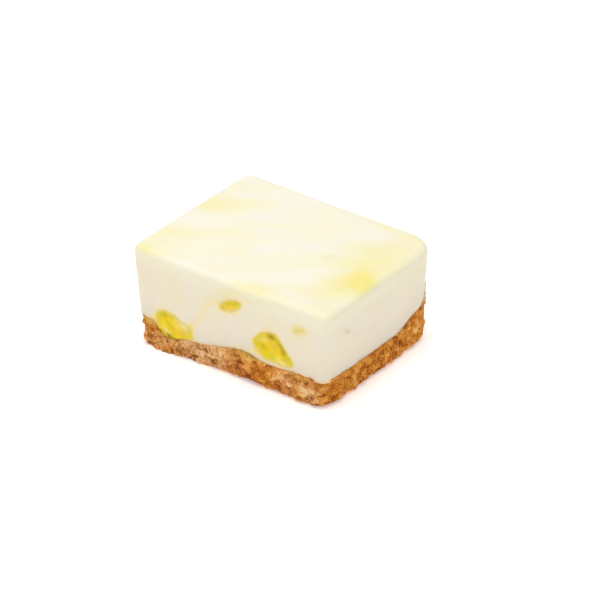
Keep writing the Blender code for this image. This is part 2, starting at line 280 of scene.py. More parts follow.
class Finish:
    def __init__(self, name):
        self.material = bpy.data.materials.new(name)
        self.material.use_nodes = True
        self.tree = self.material.node_tree
        self.shader = self.tree.nodes["Principled BSDF"]

    def node(self, kind, settings, inputs, output=0):
        made = self.tree.nodes.new("ShaderNode" + kind)
        for name, value in settings.items():
            if name == "stops":
                while len(made.color_ramp.elements) < len(value):
                    made.color_ramp.elements.new(1.0)
                for element, (place, colour) in zip(made.color_ramp.elements, value):
                    element.position, element.color = place, colour
            else:
                setattr(made, name, value)
        for name, value in inputs.items():
            self.feed(made.inputs[name], value)
        return Wire(self, made.outputs[output])

    def feed(self, socket, value):
        if isinstance(value, Wire):
            self.tree.links.new(value.socket, socket)
        else:
            socket.default_value = value

    def surface(self, **values):
        for name, value in values.items():
            self.feed(self.shader.inputs[name.replace("_", " ")], value)

    def places(self):
        return self.node("TexCoord", {}, {}, "Object")

    def painted(self, name):
        return self.node("Attribute", {"attribute_name": name}, {}, "Fac")

    def cloud(self, places, length, detail, roughness=0.55):
        # Noise whose patches are about length across
        inputs = {"Vector": places, "Scale": 1 / length, "Detail": detail, "Roughness": roughness}
        return self.node("TexNoise", {}, inputs)

    def stretched(self, places, turn, scale):
        # Places seen in a frame that is turned about Z and drawn out along its own axes
        inputs = {"Vector": places, "Rotation": (0, 0, math.radians(turn)), "Scale": scale}
        return self.node("Mapping", {"vector_type": "TEXTURE"}, inputs)

    def shifted(self, places, length, strength):
        # Places pushed about by noise, so that what follows them swirls
        push = self.node("TexNoise", {}, {"Vector": places, "Scale": 1 / length, "Detail": 2.0}, 1)
        settings = {"operation": "MULTIPLY_ADD"}
        return self.node("VectorMath", settings, {0: push, 1: (strength,) * 3, 2: places})

    def mixed(self, share, first, second):
        return self.node("Mix", {"data_type": "RGBA"}, {0: share, 6: first, 7: second}, 2)

    def tinted(self, colour, *tints):
        # Lays other colours over this one where the mesh is painted with their tints
        for name, share, shown in tints:
            colour = self.mixed(self.painted(name) * share, colour, screen(*shown))
        return colour

    def between(self, share, first, second):
        return self.mixed(share, screen(*first), screen(*second))

    def ramp(self, share, stops):
        stops = [(place, screen(*colour)) for place, colour in stops]
        return self.node("ValToRGB", {"stops": stops}, {"Fac": share})

    def bumps(self, height, distance, strength=1.0, under=None):
        inputs = {"Height": height, "Distance": distance, "Strength": strength}
        if under:
            inputs["Normal"] = under
        return self.node("Bump", {}, inputs)


def screen(red, green, blue):
    # A colour as a screen shows it, from 0 to 255, in the light's own scale
    def light(value):
        value /= 255
        return value / 12.92 if value <= 0.04045 else ((value + 0.055) / 1.055) ** 2.4
    return (light(red), light(green), light(blue), 1.0)


# The crumb base's top, which the filling follows

crumbBase = {
    "height": 0.0096,
    "swells": [                # x, y, reach along x, reach along y, height
        (-0.0248, -0.0300, 0.0072, 0.0600, -0.0037), (-0.0130, -0.0310, 0.0070, 0.0200, -0.0013),
        (0.0065, -0.0310, 0.0065, 0.0120, 0.0021), (0.0320, -0.0330, 0.0120, 0.0090, 0.0011),
        (-0.0310, -0.0330, 0.0026, 0.0080, 0.0020), (-0.0363, -0.0330, 0.0040, 0.0080, 0.0016),
        (0.0407, 0.0180, 0.0090, 0.0050, 0.0028), (0.0361, 0.0297, 0.0070, 0.0070, 0.0110),
        (-0.0043, 0.0330, 0.0120, 0.0080, -0.0012),
    ],
    "wave": 0.00035, "waveLength": 0.011,
    "proud": 0.0002,
    "bulge": 0.0010, "bulgeMiddle": 0.0030, "bulgeSpan": 0.0800, "bulgeTuck": 0.6,
    "localBulge": (-0.0255, -0.0320, 0.0088, 0.0010),    # x, y, reach, how far
    "leftInset": 0.0014,       # the left side lies in under the filling
    "cragDepth": 0.00060, "cragLength": 0.0030,
    "wornEdge": 0.0027, "wornShare": 0.8,
    "wholeEdges": [            # x, y, reach, share of the wear that is missing
        (-0.0265, -0.0320, 0.0100, 0.95),
        (-0.0120, -0.0320, 0.0060, 0.40),
        (0.0290, -0.0320, 0.0060, 0.30),
    ],
    "edgeJitter": 0.00022, "edgeJitterLength": 0.0013,   # of the line where the filling starts
    "coversFilling": 0.00012,  # least that its upper edge stands out past the filling
    "coversFrom": 0.0016, "coversAll": 0.0006,         # how far below its top this starts and is complete
    "sunk": 0.0006,            # the filling's bed lies this much under the outer edge
    "ledge": 0.0004,
    "bedRings": (0.97, 0.85, 0.6, 0.3, 0.08),          # under the filling, as shares of the plan
    "pointStep": 0.00027, "sideRows": 40,
}


def crustTop(x, y):
    height = np.full(np.shape(x), crumbBase["height"])
    for middleX, middleY, reachX, reachY, rise in crumbBase["swells"]:
        height = height + rise * np.exp(-((x - middleX) / reachX) ** 2 - ((y - middleY) / reachY) ** 2)
    places = np.stack([x, y, np.full(np.shape(x), 0.5)], -1)
    return height + crumbBase["wave"] * wavy(places, crumbBase["waveLength"])


# The filling

filling = {
    "rimSteps": 7,
    "cutWave": 0.00030, "cutWaveLength": 0.016,
    "intoCrumbs": 0.0005,      # its foot is hidden behind the crumb base's edge
    "meshStep": 0.00046, "sideRows": 54,
    "swirlRelief": 0.00016, "swirlLength": 0.014,      # the top's soft swirls
    "swirlSquash": math.cos(0.6),
    "cutRelief": 0.00012, "cutReliefLength": 0.0045,   # drag of the knife on the sides
    "drawnOut": 0.35,
    "fade": 0.0040,            # how far in from the sides their unevenness reaches
    "dimples": [               # small pits of the short face, at y and z
        (-20.6, 24.6, 1.5, 0.8, 0.00008, -24), (-15.3, 20.6, 1.0, 0.6, 0.00004, -24),
    ],
}


def cutStray(x, y, share):
    samples = np.stack([x, y, piece["height"] * share * np.ones(len(x))], -1)
    return filling["cutWave"] * wavy(samples, filling["cutWaveLength"])


def placeFilling(where, fx, fy, v):
    rim, height = piece["rim"], piece["height"]
    radii = [max(corner[2], rim) for corner in piece["corners"]]
    if where == "top":
        _, _, _, _, inset = planAt(fx, fy, 1.0, radii)
        short = np.clip(rim - inset, 0, rim)
        drop = rim - np.sqrt(rim ** 2 - short ** 2)
        share = 1 - drop / height
        x, y, outX, outY, inset = planAt(fx, fy, share, radii)
        fade = np.clip(1 - (inset - rim) / filling["fade"], 0, 1)
    else:
        x, y, outX, outY, inset = planAt(fx, fy, crumbBase["height"] / height, radii)
        z = crustTop(x, y) - filling["intoCrumbs"]
        if where == "side":
            z = (topHeight(x, y) - rim) * (1 - v) + z * v
        share = z / (topHeight(x, y) - rim) * (1 - rim / height)
        x, y, outX, outY, inset = planAt(fx, fy, share, radii)
        fade = np.clip(1 - inset / filling["fade"], 0, 1)
    stray = cutStray(x, y, share) * fade
    x, y = x + outX * stray, y + outY * stray
    if where == "top":
        z = topHeight(x, y) - drop
    points = np.stack([x, y, z], -1)
    if where == "top":
        swirled = points * (filling["swirlSquash"], 1.0, 1.0)
        level = np.clip(inset / rim, 0, 1)
        points[:, 2] += filling["swirlRelief"] * rough(swirled, filling["swirlLength"], 3, seed=4.0) * level
    dragged = points * (filling["drawnOut"], filling["drawnOut"], 1.0)
    drag = filling["cutRelief"] * rough(dragged, filling["cutReliefLength"], 3, seed=9.0) * fade
    onShortFace = outX > 0.9
    drag -= onShortFace * allSpots(y, z, filling["dimples"])
    points[:, 0] += outX * drag
    points[:, 1] += outY * drag
    return insideBox(points)


# Ribbons of curd. Ends are (x, z), sizes are half sizes, turn is in degrees in the front view.

ribbons = {
    "curd_ribbon_left": dict(front=(-0.0231, 0.0101), back=(-0.0208, 0.0092), half=(0.0078, 0.0050),
                             turn=-4, power=2.0, lobes=3, lobeDepth=0.12, phase=-0.15),
    "curd_ribbon_upper": dict(front=(0.0018, 0.0265), back=(-0.0059, 0.0242), half=(0.0040, 0.0019),
                              turn=27, power=1.7, lobes=2, lobeDepth=0.10, phase=0.4),
    "curd_ribbon_front": dict(front=(0.0183, 0.0161), back=(0.0125, 0.0175), half=(0.0075, 0.0049),
                              turn=-18, power=1.55, lobes=3, lobeDepth=0.13, phase=0.63),
    "curd_ribbon_small": dict(front=(0.0290, 0.0265), back=(0.0249, 0.0246), half=(0.0026, 0.0008),
                              turn=24, power=1.8, lobes=2, lobeDepth=0.08, phase=2.4),
}
ribbonMesh = {
    "sides": 84, "steps": 60, "beyond": 0.0060,
    "overlap": 0.00012,        # a pocket reaches this far into the filling, so that no crack shows
    "wander": 0.0015, "wanderRate": 5,         # rates are in radians over the depth
    "lift": 0.0006, "liftRate": 4,
    "pulse": 0.10, "pulseRate": 7,
    "waist": 0.16, "unturn": 0.8,
    "ragged": 0.00040, "raggedLength": 0.0024,
    "levels": 9, "outline": 60, "margin": 0.0004,      # sections, their points and overlap for nearness
    "sharp": math.radians(60),
}


def ribbonRing(spec, y, grow, sides):
    share, phase = 0.5 + y / piece["depth"], spec["phase"]
    inside = math.sin(math.pi * min(max(share, 0.0), 1.0))
    centreX, centreZ = Vector(spec["front"]).lerp(Vector(spec["back"]), share)
    centreX += inside * ribbonMesh["wander"] * math.sin(ribbonMesh["wanderRate"] * share + phase)
    centreZ += inside * ribbonMesh["lift"] * math.cos(ribbonMesh["liftRate"] * share)
    swell = 1 - ribbonMesh["waist"] * inside
    swell += ribbonMesh["pulse"] * math.sin(ribbonMesh["pulseRate"] * share + phase)
    turn = math.radians(spec["turn"]) * (1 - ribbonMesh["unturn"] * max(share, 0.0))
    angle = 2 * math.pi * np.arange(sides) / sides
    power = 2 / spec["power"]
    across = np.copysign(np.abs(np.cos(angle)) ** power, np.cos(angle))
    up = np.copysign(np.abs(np.sin(angle)) ** power, np.sin(angle))
    lobe = 1 + spec["lobeDepth"] * np.cos(spec["lobes"] * angle + phase + 2 * share)
    flatX = across * (spec["half"][0] * swell * lobe + grow)
    flatZ = up * (spec["half"][1] * swell * lobe + grow)
    x = centreX + flatX * math.cos(turn) - flatZ * math.sin(turn)
    z = centreZ + flatX * math.sin(turn) + flatZ * math.cos(turn)
    points = np.stack([x, np.full(sides, y), z], -1)
    middle = np.array([centreX, y, centreZ])
    ragged = ribbonMesh["ragged"] * rough(points, ribbonMesh["raggedLength"], 2, seed=2.0)
    return points + (points - middle) * (ragged / np.linalg.norm(points - middle, axis=1))[:, None]


def ribbonBlank(name, spec, grow):
    reach = piece["depth"] / 2 + ribbonMesh["beyond"]
    sides, steps = ribbonMesh["sides"], ribbonMesh["steps"]
    rings = [ribbonRing(spec, -reach + 2 * reach * k / steps, grow, sides) for k in range(steps + 1)]
    index = np.arange(sides * (steps + 1)).reshape(steps + 1, sides)
    faces = [index[0].tolist(), index[-1][::-1].tolist()] + ringFaces(index)
    return meshObject(name, np.concatenate(rings), faces)


def nearRibbons(points, specs):
    # Distance to the closest ribbon's outline in its own section, taken at each point's place along Y
    closest = np.full(len(points), 1.0)
    levels = np.linspace(-0.5, 0.5, ribbonMesh["levels"]) * piece["depth"]
    thick = (levels[1] - levels[0]) / 2 + ribbonMesh["margin"]
    for spec in specs:
        for y in levels:
            slab = np.abs(points[:, 1] - y) < thick
            ring = ribbonRing(spec, y, 0.0, ribbonMesh["outline"])[:, (0, 2)]
            if slab.any():
                away = np.linalg.norm(points[slab][:, None, (0, 2)] - ring[None], axis=2).min(1)
                closest[slab] = np.minimum(closest[slab], away)
    return closest


print("stage: block")
rimInsets = piece["rim"] * (1 - np.cos(np.linspace(0, math.pi / 2, filling["rimSteps"] + 1)))
block = closedGrid("filling", rimInsets, filling["meshStep"], filling["sideRows"], placeFilling)

print("stage: ribbons")
curds = []
for nodeName, spec in ribbons.items():
    curd = ribbonBlank(nodeName.replace("ribbon", "pocket"), spec, 0.0)
    cutWith(curd, "INTERSECT", block)
    space = ribbonBlank("space", spec, -ribbonMesh["overlap"])
    cutWith(block, "DIFFERENCE", space)
    bpy.data.objects.remove(space)
    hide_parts(nodeName)
    curds.append((curd, spec))
print("filling faces", len(block.data.polygons), [len(c.data.polygons) for c, _ in curds])


# How the pockets of curd look where the cut goes through them, with spots at x and z

pockets = {
    "onCut": 0.0006,           # how deep behind a cut face its skin reaches
    "edgeWidth": 0.8,          # over which a pocket rises out of the cut
    "sunk": 0.000015,          # its very edge lies behind the filling's face
    "rise": 0.00026,
    "lumps": 0.00030, "lumpLength": 0.0030,
    "paleRim": 0.6,
    "lime": [
        (-27.7, 13.6, 1.5, 1.2, 0.9), (-15.4, 10.7, 1.3, 1.8, 0.6), (11.9, 17.3, 1.2, 2.0, 0.8),
        (18.0, 13.2, 2.2, 0.9, 0.7, -20), (24.6, 14.4, 1.2, 2.0, 0.8), (4.8, 28.0, 1.2, 1.2, 0.6),
        (28.5, 26.3, 2.5, 1.0, 0.3),
    ],
    "shade": [
        (-25.9, 14.2, 1.4, 0.8, 0.45), (-24.2, 11.2, 3.0, 0.8, 0.35, -40),
        (-24.3, 6.9, 1.5, 0.8, 0.95, -15), (-28.3, 7.3, 1.1, 1.0, 0.6),
        (17.9, 20.5, 2.0, 1.3, 0.70, -10), (15.0, 16.2, 1.8, 1.3, 0.45, -40),
        (21.7, 18.4, 2.2, 0.8, 0.55, -45), (23.2, 16.2, 1.0, 1.4, 0.45), (1.4, 27.2, 2.6, 0.6, 0.35, 20),
        (-1.5, 24.6, 1.2, 0.6, 0.35),
    ],
    # warm spots: the curd's golden colour, with a painted highlight band on the front pocket
    "warm": [
        (-20.2, 10.0, 2.6, 1.5, 0.8), (-25.3, 13.2, 1.3, 0.9, 0.5), (-29.6, 10.2, 1.4, 1.8, 0.8),
        (16.8, 18.9, 2.6, 1.0, 0.7, -20), (19.3, 17.0, 1.6, 1.6, 0.6), (0.4, 25.6, 3.4, 1.0, 0.6, 20),
    ],
    # pale spots: partly painted highlights on the gel, partly the curd's paler colour
    "pale": [
        (-16.6, 12.0, 2.0, 2.6, 0.4), (-18.7, 13.4, 2.8, 1.2, 0.95, -25),
        (-25.3, 8.3, 2.0, 0.8, 0.7, -30), (22.2, 12.6, 2.2, 1.0, 0.8, -20),
        (15.2, 18.8, 2.2, 0.9, 0.40, 20), (-19.6, 11.6, 2.0, 1.0, 0.30), (29.0, 26.2, 3.5, 2.0, 1.0),
    ],
}


def dressPocket(curd, spec):
    # Swells the pocket a little out of the cut faces and paints its tints
    points = meshPoints(curd)
    x, y, z = points.T
    _, _, front, back = sideReach(z / piece["height"])
    onFace = (y < -front + pockets["onCut"]) | (y > back - pockets["onCut"])
    atEdge = np.zeros(len(points))
    away = nearRibbons(points[onFace], [spec])
    atEdge[onFace] = np.exp(-(away / (pockets["edgeWidth"] * millimetre)) ** 2)
    lumps = np.zeros(len(points))
    bumpy = rough(points[onFace], pockets["lumpLength"], 2, seed=5.0)
    lumps[onFace] = pockets["rise"] + pockets["lumps"] * bumpy
    rise = (1 - atEdge) * lumps - atEdge * pockets["sunk"]
    points[:, 1] += np.where(onFace, np.sign(y) * rise, 0)
    movePoints(curd, insideBox(points))
    paint(curd, "rim", atEdge * pockets["paleRim"])
    # the pale and warm tints include painted highlights on the gel
    for tint in ("lime", "shade", "warm", "pale"):
        paint(curd, tint, np.clip(allSpots(x, z, pockets[tint]), 0, 1))
    curd.data.set_sharp_from_angle(angle=ribbonMesh["sharp"])


print("stage: pockets")
for curd, spec in curds:
    dressPocket(curd, spec)
block.data.set_sharp_from_angle(angle=ribbonMesh["sharp"])


# The crumb base: a core of crumbs pressed together, and looser crumbs on its sides

pressed = [                # grain length, how far single grains stand out, depth of the seams, tone
    {"length": 0.0030, "stands": 0.00024, "seam": 0.00030, "tone": 0.15, "seed": 1},
    {"length": 0.0013, "stands": 0.00010, "seam": 0.00018, "tone": 0.15, "seed": 2},
    {"length": 0.0006, "stands": 0.00004, "seam": 0.00008, "tone": 0.05, "seed": 3},
]
grain = {
    "seamWidth": 0.22,         # as a share of a grain
    # painted shade darkens the seams between grains by this share of a layer's tone
    "lighter": 1.6, "paintedSeamShade": 0.8,
    "numberScale": 9.0, "seedSteps": (5.3, 0.0, 2.9),
}
warp = {"length": 0.0022, "push": 0.0006, "seeds": (11.0, 12.0, 13.0)}
# pits are sunk, and darkened by painted shade in their hollows
pits = {"share": 0.055, "depth": 0.00055, "dark": 0.32}
crumbTints = {
    "peach": [             # on the long face, at x and z
        (-11, 5, 13, 9, 0.95), (-31, 2.5, 4, 2.5, 0.5), (24, 6, 5, 6, 0.45), (33, 4, 3, 5, 0.75),
    ],
    "gold": [              # where curd has run into them
        (-32.0, 9.6, 3.2, 1.5, 0.95), (-27.5, 6.2, 3.0, 0.8, 0.5), (6.0, 11.8, 5.5, 1.3, 0.5),
        (9.0, 9.8, 4.5, 1.4, 0.5), (30.5, 9.2, 3.0, 1.0, 0.4),
    ],
    "olive": [
        (-24.6, 6.0, 2.0, 0.7, 0.7), (-32.6, 4.6, 0.9, 0.9, 0.5), (5.0, 11.6, 2.6, 0.7, 0.6),
        (9.6, 11.0, 3.0, 0.7, 0.8, -12), (26.0, 10.2, 2.4, 0.8, 0.5, -10),
    ],
    "pale": 0.8, "paleAbove": (0.0140, 0.0165),        # drawn up crumbs turn pale between these heights
    "frontReach": 0.0040, "frontFade": 0.0020,         # how far in from the long face its tints go
    "patchReach": 0.0030,
    # painted shade darkening the crumb base towards its foot
    "paintedShadeAtFoot": 0.25, "footHeight": 0.0012,
}
crumbPatches = {           # places with lighter or darker crumbs: across, height, size in mm, how much
    "front": [
        (-33.1, 7.1, 0.8, -0.25), (-30.5, 5.0, 4.0, 0.12), (-22.4, 3.9, 1.2, 0.15), (-24.0, 4.0, 8.0, -0.10),
        (-7.0, 4.0, 6.0, -0.07), (-20.1, 2.5, 1.0, -0.45), (-13.8, 4.1, 1.2, 0.35), (-13.5, 2.3, 1.6, -0.40),
        (-12.9, 7.6, 1.4, -0.40), (-10.8, 3.8, 1.2, 0.30), (-8.6, 6.3, 1.0, -0.35), (-6.0, 8.2, 1.6, 0.20),
        (-6.6, 3.5, 1.3, -0.25), (-2.4, 2.4, 1.4, -0.35), (-1.9, 7.2, 1.8, 0.25), (0.2, 2.1, 1.1, -0.35),
        (1.1, 7.1, 1.3, 0.20), (4.0, 4.0, 1.2, -0.45), (5.5, 6.6, 1.1, -0.60), (8.0, 4.5, 6.0, -0.17),
        (7.5, 5.2, 1.3, 0.55), (7.9, 2.9, 1.2, -0.45), (8.6, 9.7, 1.6, 0.20), (10.3, 2.4, 1.2, -0.40),
        (11.5, 8.9, 0.8, -0.45), (13.0, 2.9, 1.1, 0.20), (13.7, 5.6, 1.5, -0.38), (16.3, 2.4, 1.2, -0.25),
        (18.0, 9.5, 1.3, -0.35), (19.5, 2.8, 1.2, -0.25), (21.4, 6.8, 1.7, 0.20), (21.8, 9.1, 1.1, -0.20),
        (23.9, 3.5, 1.3, -0.22), (25.7, 10.0, 1.1, -0.20), (26.4, 6.4, 1.3, 0.18), (29.6, 1.9, 1.2, -0.40),
        (30.4, 5.2, 1.9, 0.75), (31.1, 7.6, 1.2, -0.30), (33.6, 4.3, 1.0, -0.30), (34.6, 2.6, 1.0, 0.15),
        (22.5, 6.5, 5.0, 0.07), (36.0, 8.9, 1.1, 0.25), (37.4, 5.2, 0.8, -0.35), (38.0, 7.6, 1.2, 0.20)
    ],
    "right": [
        (-29.0, 6.6, 1.0, 0.20), (-17.6, 6.2, 1.4, -0.20), (-13.9, 1.9, 1.2, -0.30), (-5.5, 6.6, 1.8, 0.15),
        (1.4, 7.6, 1.3, -0.20), (2.0, 2.7, 1.2, -0.35), (2.8, 4.6, 1.1, 0.30), (4.4, 6.6, 1.1, -0.50),
        (10.5, 2.6, 1.2, 0.25), (11.2, 5.6, 1.3, -0.60), (14.3, 10.6, 1.1, -0.45), (17.2, 9.7, 1.2, -0.12),
        (14.6, 6.1, 1.2, 0.15), (17.4, 9.8, 1.0, -0.45), (19.6, 7.4, 1.1, 0.45), (16.8, 12.4, 1.0, -0.35)
    ],
}


def ringAround(radii, step):
    # Points round the plan at its foot and at its top, anticlockwise, with the ways out
    spans = (piece["depth"], piece["length"]) * 2
    plans = []
    for share in (0.0, 1.0):
        left, right, front, back = sideReach(share)
        arcs = []
        for (sideX, sideY, *_), radius in zip(piece["corners"], radii):
            middle = np.array([sideX * ((right if sideX > 0 else left) - radius),
                               sideY * ((back if sideY > 0 else front) - radius)])
            count = round(radius * math.pi / 2 / step)
            start = math.atan2(sideY, sideX) - math.pi / 4
            angles = start + math.pi / 2 * np.arange(count + 1) / count
            ways = np.stack([np.cos(angles), np.sin(angles)], -1)
            arcs.append((middle + radius * ways, ways))
        points, outward = [], []
        for (here, ways), (after, _), span in zip(arcs, arcs[1:] + arcs[:1], spans):
            count = round(span / step)
            shares = np.arange(1, count)[:, None] / count
            points += [here, here[-1] + (after[0] - here[-1]) * shares]
            outward += [ways, np.repeat(ways[-1:], count - 1, 0)]
        plans.append(np.concatenate(points))
    return plans[0], plans[1], np.concatenate(outward)


def nearness(points, x, y, reach):
    # 1 at a place of the plan, fading out over its reach
    return np.exp(-((points[:, 0] - x) ** 2 + (points[:, 1] - y) ** 2) / reach ** 2)


def crustOffset(points, outX):
    # How far the crumb base's side stands outside the plan: bulge, worn foot and coarse crags
    middle = np.cos(math.pi * (points[:, 1] - crumbBase["bulgeMiddle"]) / crumbBase["bulgeSpan"])
    x, y, reach, most = crumbBase["localBulge"]
    bulge = crumbBase["bulge"] * np.clip(outX, 0, 1) ** 2 * np.clip(middle, 0, 1)
    bulge += most * nearness(points, x, y, reach)
    bulge *= 1 - crumbBase["bulgeTuck"] * np.clip(points[:, 2] / crumbBase["height"], 0, 1) ** 2
    level = 1 - np.clip(points[:, 2] / crumbBase["wornEdge"], 0, 1)
    worn = crumbBase["wornEdge"] * crumbBase["wornShare"] * (1 - np.sqrt(1 - level ** 2))
    whole = sum(share * nearness(points, x, y, reach) for x, y, reach, share in crumbBase["wholeEdges"])
    worn *= np.clip(1 - whole, 0, 1)
    crags = crumbBase["cragDepth"] * rough(points, crumbBase["cragLength"], 3)
    inset = crumbBase["leftInset"] * np.clip(-outX, 0, 1) ** 2
    return crumbBase["proud"] + bulge - inset - worn + crags


def pressedRelief(points):
    # Relief of the pressed crumbs, how light each place is with painted shade in the seams and pits, and the
    # middle of the grain it is in
    push = np.stack([rough(points, warp["length"], 2, seed) for seed in warp["seeds"]], -1)
    pushed = points + warp["push"] * push
    lift, tone = np.zeros(len(points)), np.full(len(points), 0.5)
    for layer in pressed:
        shift = seeded(layer["seed"], grain["seedSteps"])
        cells = [noise.voronoi(Vector(point) / layer["length"] + shift) for point in pushed]
        between = np.array([away[1] - away[0] for away, _ in cells])
        seam = 1 - np.clip(between / grain["seamWidth"], 0, 1)
        number = np.array([noise.cell(near[0] * grain["numberScale"]) for _, near in cells])
        lift += layer["stands"] * number - layer["seam"] * seam ** 2
        # the seams take painted shade
        tone += layer["tone"] * number * grain["lighter"] - layer["tone"] * grain["paintedSeamShade"] * seam ** 2
        if layer is pressed[1]:
            grains = (np.array([near[0] for _, near in cells]) - np.array(shift)) * layer["length"]
            # the pits take painted shade
            pit = (number > 1 - 2 * pits["share"]) * (1 - seam)
            lift -= pits["depth"] * pit
            tone -= pits["dark"] * pit
    return lift, tone, grains


def crumbTint(points):
    # Where the crumbs are peach coloured, gold and olive
    x, y, z = points.T
    _, _, front, _ = sideReach(z / piece["height"])
    onFront = np.clip((-front + crumbTints["frontReach"] - y) / crumbTints["frontFade"], 0, 1)
    low, high = crumbTints["paleAbove"]
    peach = onFront * allSpots(x, z, crumbTints["peach"])
    peach = np.maximum(peach, crumbTints["pale"] * np.clip((z - low) / (high - low), 0, 1))
    tints = {"peach": peach}
    for tint in ("gold", "olive"):
        tints[tint] = onFront * allSpots(x, z, crumbTints[tint])
    return {tint: np.clip(share, 0, 1) for tint, share in tints.items()}


def crumbTone(points):
    # Lighter and darker stretches of the crumb base, and painted shade darkening it towards its foot
    x, y, z = points.T
    _, right, front, _ = sideReach(z / piece["height"])
    onFront, onRight = y < -front + crumbTints["patchReach"], x > right - crumbTints["patchReach"]
    # painted shade along the foot
    tone = -crumbTints["paintedShadeAtFoot"] * np.exp(-(z / crumbTints["footHeight"]) ** 2)
    for side, across, near in (("front", x, onFront), ("right", y, onRight)):
        for at, height, size, change in crumbPatches[side]:
            tone += near * softSpot(across, z, at, height, size, size, change)
    return tone


def paintCrumbs(thing, points, tone, grains):
    # A light or dark place takes in whole grains, the tints run over them
    paint(thing, "tone", tone + crumbTone(grains))
    for name, share in crumbTint(points).items():
        paint(thing, name, share)


def makeCore():
    radii = [corner[3] for corner in piece["corners"]]
    low, high, ways = ringAround(radii, crumbBase["pointStep"])

    def planRow(z):
        flat = low + (high - low) * (z / piece["height"])[:, None]
        return np.stack([splayed(flat[:, 0], flat[:, 1]), flat[:, 1], z], -1)

    start = planRow(np.full(len(low), crumbBase["height"]))
    roof = crustTop(start[:, 0], start[:, 1])
    edge = planRow(roof)
    jitter = crumbBase["edgeJitter"] * rough(edge, crumbBase["edgeJitterLength"], 2, seed=3.0)
    cover = cutStray(edge[:, 0], edge[:, 1], roof / piece["height"]) + crumbBase["coversFilling"]
    coverSpan = crumbBase["coversFrom"] - crumbBase["coversAll"]
    rows, tones, middles = [], [], []
    for k in range(crumbBase["sideRows"] + 1):
        z = (roof + jitter) * k / crumbBase["sideRows"]
        row = planRow(z)
        lift, tone, grains = pressedRelief(row)
        offset = crustOffset(row, ways[:, 0]) + lift
        upper = np.clip((z - roof + crumbBase["coversFrom"]) / coverSpan, 0, 1)
        offset += upper * np.maximum(cover - offset, 0)
        row[:, :2] += ways * offset[:, None]
        rows.append(row)
        tones.append(tone)
        middles.append(grains)
    ledge = planRow(roof + jitter)
    ledge[:, :2] -= ways * crumbBase["ledge"]
    rows.append(ledge)
    for share in crumbBase["bedRings"]:
        bed = planRow(roof)
        bed[:, :2] *= share
        bed[:, 2] = crustTop(bed[:, 0], bed[:, 1]) - crumbBase["sunk"]
        rows.append(bed)
    tones += [tones[-1]] * (len(rows) - len(tones))
    middles += [middles[-1]] * (len(rows) - len(middles))
    points = insideBox(np.concatenate(rows))
    index = np.arange(len(points)).reshape(len(rows), -1)
    faces = ringFaces(index[::-1]) + [index[0][::-1].tolist(), index[-1].tolist()]
    core = meshObject("crumb_core", points, faces)
    paintCrumbs(core, points, np.concatenate(tones), np.concatenate(middles))
    return core, index[1:crumbBase["sideRows"]].ravel()


looseCrumbs = {            # upTo is the share of the base's height that they lie on
    "coarse": dict(count=150, radius=(0.0008, 0.0014), standsOut=(0.05, 0.28), upTo=0.75, facets=3, seed=3),
    "medium": dict(count=1100, radius=(0.00035, 0.0007), standsOut=(0.05, 0.4), upTo=0.92, facets=2, seed=5),
    "fine": dict(count=6000, radius=(0.00012, 0.00032), standsOut=(0.1, 0.8), upTo=1.0, facets=1, seed=8),
}
crumbShape = {
    "breaks": 8, "breakDepth": (0.68, 1.0), "bulkiest": 1.08,      # as shares of the radius
    "glancing": 0.05,          # faces turned further away than this aren't broken off
    "stretch": (0.75, 1.15), "flattened": 0.3,
    "manySmall": 1.6,          # more of the small ones than of the large
}
crumbTones = {
    "most": (0.38, 0.62),
    "light": (0.64, 0.88), "lightShare": 0.22,
    "dark": (0.08, 0.30), "darkShare": 0.14,
}


def ballOf(facets):
    bm = bmesh.new()
    bmesh.ops.create_icosphere(bm, subdivisions=facets, radius=1.0)
    points = np.array([v.co for v in bm.verts])
    faces = np.array([[v.index for v in f.verts] for f in bm.faces])
    bm.free()
    return points, faces


def brokenCrumbs(dice, count, directions):
    # Balls broken along flat planes, each one a different chip. One row of points for each crumb.
    planes = dice.normal(size=(count, crumbShape["breaks"], 3))
    planes /= np.linalg.norm(planes, axis=2, keepdims=True)
    offsets = dice.uniform(*crumbShape["breakDepth"], (count, crumbShape["breaks"]))
    facing = np.einsum("vc,nkc->nvk", directions, planes)
    glancing, bulkiest = crumbShape["glancing"], crumbShape["bulkiest"]
    reach = np.where(facing > glancing, offsets[:, None, :] / np.maximum(facing, glancing), bulkiest)
    reach = np.minimum(reach.min(2), bulkiest)
    stretch = dice.uniform(*crumbShape["stretch"], (count, 1, 3))
    return directions[None] * reach[:, :, None] * stretch


def scatter(name, spec, places, ways):
    dice = np.random.default_rng(spec["seed"])
    directions, faces = ballOf(spec["facets"])
    count = spec["count"]
    chosen = dice.choice(int(len(places) * spec["upTo"]), count)
    least, most = spec["radius"]
    radius = least + (most - least) * dice.random(count) ** crumbShape["manySmall"]
    standsOut = radius * dice.uniform(*spec["standsOut"], count)
    outward = ways[chosen]
    shapes = brokenCrumbs(dice, count, directions) * radius[:, None, None]
    through = np.einsum("nvc,nc->nv", shapes, outward)
    shapes -= crumbShape["flattened"] * through[:, :, None] * outward[:, None]
    depth = radius * (1 - crumbShape["flattened"]) - standsOut
    centres = places[chosen] - outward * depth[:, None]
    points = insideBox((centres[:, None] + shapes).reshape(-1, 3))
    steps = np.arange(count)[:, None, None] * len(directions)
    made = meshObject(name, points, (faces[None] + steps).reshape(-1, 3).tolist())
    tone = dice.uniform(*crumbTones["most"], count)
    kind = dice.random(count)
    tone = np.where(kind < crumbTones["lightShare"], dice.uniform(*crumbTones["light"], count), tone)
    tone = np.where(kind > 1 - crumbTones["darkShare"], dice.uniform(*crumbTones["dark"], count), tone)
    middles = np.repeat(centres, len(directions), 0)
    paintCrumbs(made, middles, np.repeat(tone, len(directions)), middles)
    return made


